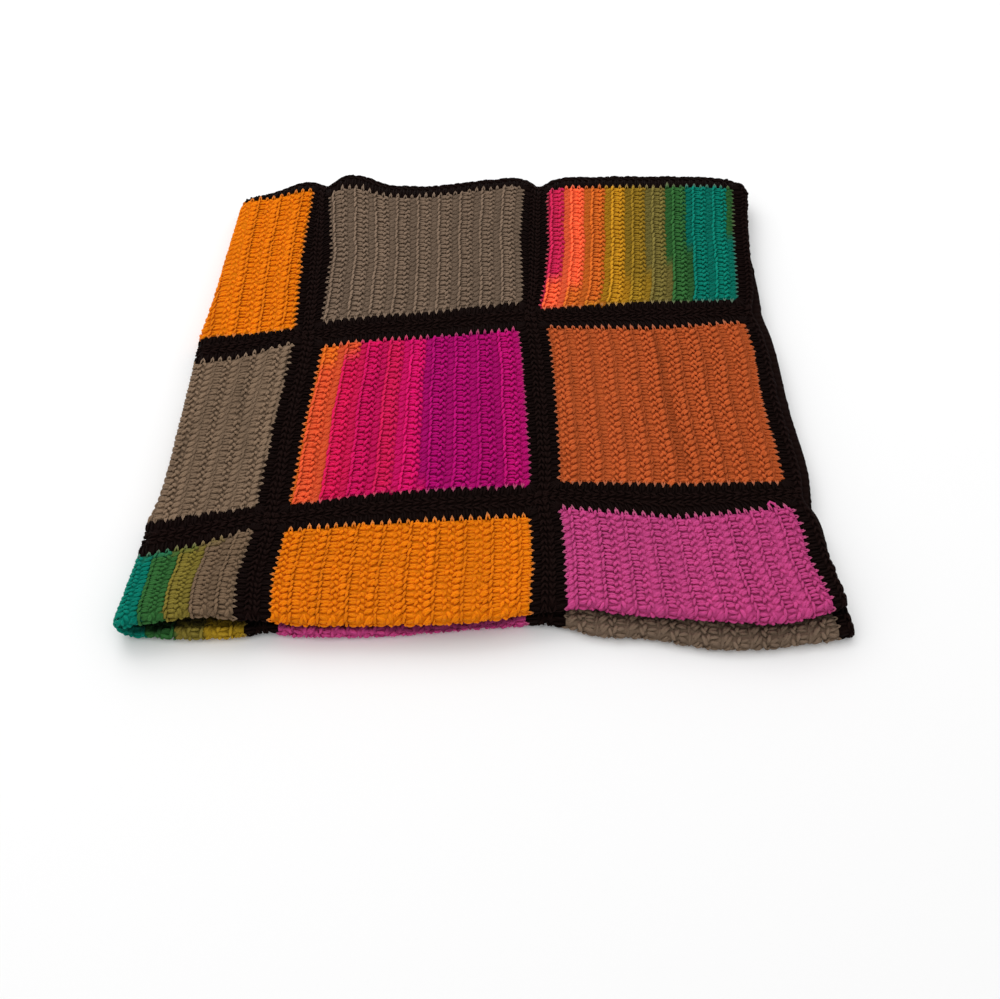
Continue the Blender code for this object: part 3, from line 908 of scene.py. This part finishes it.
def patch_bundles(place, upper):
    """The rows of one patch: every strand of the two rows' stitch, repeated over the patch."""
    centre, colourway = square_at(place)
    rib, stitch = np.meshgrid(np.arange(RIB_COUNT), np.arange(STITCHES), indexing="ij")
    rib, stitch = rib.ravel(), stitch.ravel()
    wander = chance.normal(0, 1, (RIB_COUNT, 3))[rib]
    rib_lift = chance.normal(0, RIB_LIFT, RIB_COUNT)[rib]
    rib_tone = 1 + chance.normal(0, RIB_TONE, RIB_COUNT)[rib]
    beat = 2 * pi * stitch / STITCHES
    sway = np.sin(beat * SWAYS[0] + wander[:, 0]) + np.sin(beat * SWAYS[1] + wander[:, 1])
    lag = np.sin(beat * LAGS + 2 * wander[:, 2]) + wander[:, 1]
    ridge_at = (FIRST_RIDGE.get(place, 0.0) + 2 * (rib - 1)) * ROW
    stray = stacked(ROW_STRAY * sway / 2, ROW_STRAY * lag, rib_lift) * MILLIMETRE
    at = stacked(ridge_at, stitch * STITCH, 0.0) + stray
    ribbed, laddered = RIB_SHARES[colourway]
    rise, painted_light_and_shade = ribbed * np.array(RIBS) + laddered * np.array(LADDERS)
    bundles = []
    for row, half_thickness, template in TWO_ROWS.values():
        shape = np.array(template)
        # Painted light and shade: each point of a strand lighter where the stitches stand up, darker
        # where they sink.
        pale = 1 + np.interp(shape[:, 0], FROM_RIDGE, painted_light_and_shade)
        shape[:, 2] += np.interp(shape[:, 0], FROM_RIDGE, rise)
        lines = at[:, None] + shape * MILLIMETRE
        middle = lines.mean(axis=1)
        inside = (middle[:, 0] > 0) & (middle[:, 0] < PATCH)
        inside &= (middle[:, 1] > -PAST_END) & (middle[:, 1] < PATCH + PAST_END)
        lines, middle = lines[inside], middle[inside]
        used = yarn_used(2 * (rib[inside] - 1) + row, middle[:, 1] - PATCH / 2)
        toned = wool_along(colourway, used) * rib_tone[inside, None]
        colours = toned[:, None] * pale[:, None]
        lines, colours = kept(lines + centre - [PATCH / 2, PATCH / 2, 0], colours, upper)
        if len(lines):
            bundles.append(by_hand(lines, half_thickness, colours))
    return bundles


def round_edge(count, offset):
    """Places along the four sides of a patch: for each, the side and the distance along it."""
    side, number = np.meshgrid(np.arange(4), np.arange(count), indexing="ij")
    return side.ravel(), (number.ravel() + offset) * PATCH / count - PATCH / 2


def from_edge(side, along, template, longer=1.0):
    """Lines given outwards from a patch's edge, along it and up, turned to each of its sides.

    What lies outside the edge is so many times longer.
    """
    shape = np.array(template) * MILLIMETRE
    out = PATCH / 2 + shape[:, 0] * np.where(shape[:, 0] > 0, longer, 1)
    sideways = along[:, None] + shape[:, 1]
    angle = side[:, None] * pi / 2
    s = np.cos(angle) * out - np.sin(angle) * sideways
    r = np.sin(angle) * out + np.cos(angle) * sideways
    return stacked(s, r, shape[:, 2])


def teeth(place, upper):
    """The loops drawn out into the border, one for each stitch and three for each rib."""
    centre, colourway = square_at(place)
    half_thickness, template = TOOTH
    side, along = round_edge(STITCHES + 1, 0.5)
    longer = 1 + chance.normal(0, TOOTH_STRAY, len(side))
    longer = longer * np.where(side % 2 == 1, END_TEETH_LONGER, 1.0)
    lines = from_edge(side, along, template, longer[:, None])
    middle = lines.mean(axis=1)
    out = np.linalg.norm(np.maximum(np.abs(lines[..., :2]) - PATCH / 2, 0), axis=-1)
    faded = TOOTH_FADE * np.clip(out / TOOTH_FADE_AT, 0, 1)[..., None]
    own = wool_at(place, middle[:, 0], middle[:, 1])[:, None]
    colours = own * (1 - faded) + linear(PALE_FLUFF) * faded
    lines, colours = kept(lines + centre, colours, upper)
    bundles = [by_hand(lines, half_thickness, colours)]
    loose_place, loose_side, loose_along = LOOSE_AT
    if place == loose_place:
        half_thickness, template = LOOSE_LOOP
        loop = from_edge(np.array([loose_side]), np.array([loose_along]), template) + centre
        colours = wool_along(colourway, np.zeros(loop.shape[:2]))
        bundles.append(by_hand(loop, half_thickness, colours))
    return bundles


patch_wool = wool_material("patch_wool", twist_group(), PLY_HEIGHT, roughness=0.88, sheen=0.02)
for where, place in PIECES.items():
    upper = not where.startswith("under")
    yarn_piece("patch_" + where, patch_bundles(place, upper) + teeth(place, upper), patch_wool)

# ------------------------------
# The borders: a round of tall dark stitches worked out from each patch, closed by a chain of
# loops, and the squares sewn together through those chains, which leaves a groove between them.

# Each strand of one stitch, as the teeth are given, and the posts that fill each corner.
BORDER_STITCH = {
    "near_post": (1.15, (
        (-1.0, -1.6, 0.4), (1.6, -1.6, 1.5), (4.6, -1.3, 1.8), (7.6, -1.2, 1.6), (9.8, -1.0, 0.4),
    )),
    "far_post": (1.15, (
        (-1.0, 0.9, 0.4), (1.6, 0.9, 1.5), (4.6, 1.1, 1.8), (7.6, 1.3, 1.6), (9.8, 1.4, 0.4),
    )),
    "inner_chain": (1.10, (
        (8.4, -3.6, 0.4), (8.9, -1.6, 1.7), (9.9, 0.6, 2.0), (10.9, 2.6, 1.6), (11.3, 4.4, 0.4),
    )),
    "outer_chain": (1.15, (
        (13.6, -3.6, 0.0), (13.1, -1.6, 1.5), (12.3, 0.6, 1.9), (11.6, 2.6, 1.5), (11.3, 4.4, 0.4),
    )),
}
CORNER_FAN = 5
CHAIN_SHADE = 1.25
POST_SHADE = 0.85


def corner_fan(template):
    """Posts spread round each corner of the patch, as far out as the border's edges are."""
    side, step = np.meshgrid(np.arange(4), np.arange(1, CORNER_FAN + 1), indexing="ij")
    turned = pi / 2 * (side + step / (CORNER_FAN + 1)).reshape(-1, 1)
    corner = pi / 2 * side.reshape(-1, 1) + pi / 4
    shape = np.array(template) * MILLIMETRE
    lean = np.abs(((turned + pi / 4) % (pi / 2)) - pi / 4)
    out = np.maximum(shape[:, 0], 0) / np.cos(lean)
    start = PATCH / 2 * np.sqrt(2)
    s = np.cos(corner) * start + np.cos(turned) * out
    r = np.sin(corner) * start + np.sin(turned) * out
    return stacked(s, r, shape[:, 2])


def border_bundles(place, upper):
    """The round of dark stitches of one square, with a fan of posts at each of its corners."""
    centre, _ = square_at(place)
    bundles = []
    for name, (half_thickness, template) in BORDER_STITCH.items():
        if "post" in name:
            shade = POST_SHADE
            side, along = round_edge(STITCHES + 1, 0.0)
            lines = np.concatenate([from_edge(side, along, template), corner_fan(template)])
        else:
            shade = CHAIN_SHADE
            side, along = round_edge(STITCHES + 1, 0.5)
            past = np.repeat([-2, -1, STITCHES + 1, STITCHES + 2], 4)
            side = joined(side, np.tile(np.arange(4), 4))
            along = joined(along, (past + 0.5) * PATCH / (STITCHES + 1) - PATCH / 2)
            lines = from_edge(side, along, template)
            lines[..., :2] = np.clip(lines[..., :2], -SQUARE / 2, SQUARE / 2)
        colours = np.broadcast_to(linear(WOOLS["dark"]) * shade, lines.shape)
        lines, colours = kept(lines + centre, colours, upper)
        bundles.append(by_hand(lines, half_thickness, colours))
    return bundles


dark_wool = wool_material("dark_wool", twist_group(), PLY_HEIGHT, roughness=0.8)
for where, place in PIECES.items():
    yarn_piece("border_" + where, border_bundles(place, not where.startswith("under")), dark_wool)

# ------------------------------
# The outer edge: the last chain of loops, worked in the dark wool right round the blanket.

EDGE_THICKNESS = 1.2
EDGE_STITCH = (
    ((-6.5, -1.5, 0.7), (-3.2, -0.8, 1.1), (0.0, -0.6, 1.0), (3.2, -0.7, 0.6), (6.5, -1.2, 0.0)),
    ((-6.5, -1.5, -0.8), (-3.2, -0.8, -1.2), (0.0, -0.6, -1.1), (3.2, -0.7, -0.7), (6.5, -1.2, 0.0)),
)
EDGE_PITCH = 0.0071


def edge_bundles():
    """Loops along the rim, in millimetres along it, outwards and up, each hooked in the next."""
    low, high = (-HALF_WIDTH, -BACK_LENGTH), (HALF_WIDTH, FACE_LENGTH)
    edges = ((0, -BACK_LENGTH, -1), (0, FACE_LENGTH, 1), (1, -HALF_WIDTH, -1), (1, HALF_WIDTH, 1))
    bundles = []
    for template in EDGE_STITCH:
        shape = np.array(template) * MILLIMETRE
        parts = []
        for axis, at, out in edges:
            length = high[axis] - low[axis]
            count = int(length / EDGE_PITCH)
            loops = np.empty((count,) + shape.shape)
            middle = low[axis] + (np.arange(count) + 0.5)[:, None] * length / count
            loops[..., axis] = middle + shape[:, 0]
            loops[..., 1 - axis] = at + out * shape[:, 1]
            loops[..., 2] = shape[:, 2]
            parts.append(loops)
        lines = np.concatenate(parts)
        lines[..., :2] = np.clip(lines[..., :2], low, high)
        colours = np.broadcast_to(linear(WOOLS["dark"]), lines.shape)
        bundles.append(by_hand(lines, EDGE_THICKNESS, colours))
    return bundles


yarn_piece("outer_edge", edge_bundles(), dark_wool)

# ------------------------------
# The setting: a plain pale floor, soft light from above, and the camera over the front edge.

FLOOR_HALF = 4.0
FLOOR_COLOUR = (0.93, 0.93, 0.93, 1.0)

floor_mesh = bpy.data.meshes.new("floor")
floor_corners = [(x * FLOOR_HALF, y * FLOOR_HALF, 0.0) for x, y in ((-1, -1), (1, -1), (1, 1), (-1, 1))]
floor_mesh.from_pydata(floor_corners, [], [(0, 1, 2, 3)])
floor = scene_object("floor", floor_mesh)
paper = bpy.data.materials.new("pale_floor")
paper.use_nodes = True
paper_shader = paper.node_tree.nodes["Principled BSDF"]
fill(paper.node_tree, paper_shader, {"Base Color": FLOOR_COLOUR, "Roughness": 0.9})
floor_mesh.materials.append(paper)


def soft_light(name, at, power, size):
    """A square of soft light, turned to the blanket."""
    lamp = bpy.data.lights.new(name, "AREA")
    lamp.energy = power
    lamp.size = size
    holder = scene_object(name, lamp)
    holder.location = at
    holder.rotation_mode = "QUATERNION"
    holder.rotation_quaternion = holder.location.to_track_quat("Z", "Y")


soft_light("window", at=(-0.8, 1.3, 1.8), power=17.0, size=1.6)
soft_light("ceiling", at=(0.0, 0.3, 2.4), power=9.0, size=2.2)
world = bpy.data.worlds.new("room")
world.use_nodes = True
background = world.node_tree.nodes["Background"]
fill(world.node_tree, background, {"Color": (1.0, 1.0, 1.0, 1.0), "Strength": 0.8})
bpy.context.scene.world = world
bpy.context.scene.view_settings.view_transform = "Standard"

# The camera's place is in squares from the crossing of the second row's and first column's seams.
CAMERA_AT = (0.84, -2.883, 3.504)
CAMERA_LIFT = 0.025
CAMERA_DOWN = 50.4
camera_data = bpy.data.cameras.new("camera")
camera_data.lens = 43.2
camera_data.sensor_width = 36.0
camera_data.clip_start = 0.01
camera = scene_object("camera", camera_data)
camera.location = np.array(CAMERA_AT) * SQUARE + SHIFT + [SEAM_X, SEAM_Y, CAMERA_LIFT]
camera.rotation_euler = (radians(90 - CAMERA_DOWN), 0.0, 0.0)
bpy.context.scene.camera = camera
